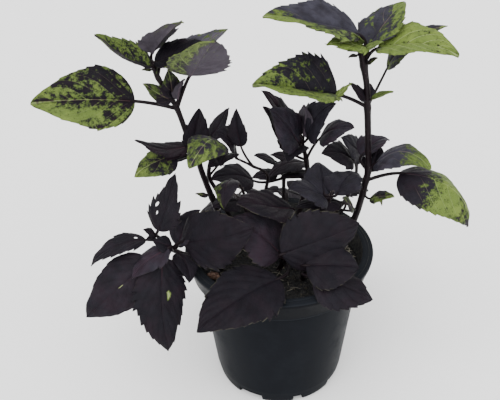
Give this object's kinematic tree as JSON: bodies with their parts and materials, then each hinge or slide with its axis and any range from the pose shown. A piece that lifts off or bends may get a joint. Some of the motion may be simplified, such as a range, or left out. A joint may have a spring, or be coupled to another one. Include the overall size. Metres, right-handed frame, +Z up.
{
  "type": "potted basil plant",
  "caption": "Bushy red basil plant with purple and green toothed leaves in a round dark plastic nursery pot filled with potting soil.",
  "frame": {"origin": "centre of the pot's underside, on the surface that the pot stands on", "axes": "+Z up, -Y towards the front of the plant as pictured, +X to its right"},
  "size_m": [0.2543, 0.1729, 0.2538],
  "materials": {
    "pot_plastic": "satin moulded plastic",
    "potting_soil": "damp crumbly peat",
    "bark": "rough bark",
    "foliage_dark": "satin leaf, purple black",
    "foliage_green": "satin leaf, green mottled with purple"
  },
  "bodies": {
    "root": {"pot": "pot_plastic", "potting_soil": "potting_soil", "bark_chip": "bark", "stem_left_tall": "foliage_green", "stem_left_inner": "foliage_dark", "stem_left_thin": "foliage_dark", "stem_right_tall": "foliage_green", "stem_right_inner": "foliage_dark", "stem_centre_tall": "foliage_dark", "stem_centre_left": "foliage_dark", "stem_left_small": "foliage_dark", "stem_centre_right": "foliage_dark", "stem_front_left": "foliage_dark", "stem_front_right": "foliage_dark", "stem_low_left": "foliage_dark", "stem_back_left": "foliage_dark", "stem_back_middle": "foliage_dark", "stem_back_right": "foliage_dark"}
  },
  "joints": []
}
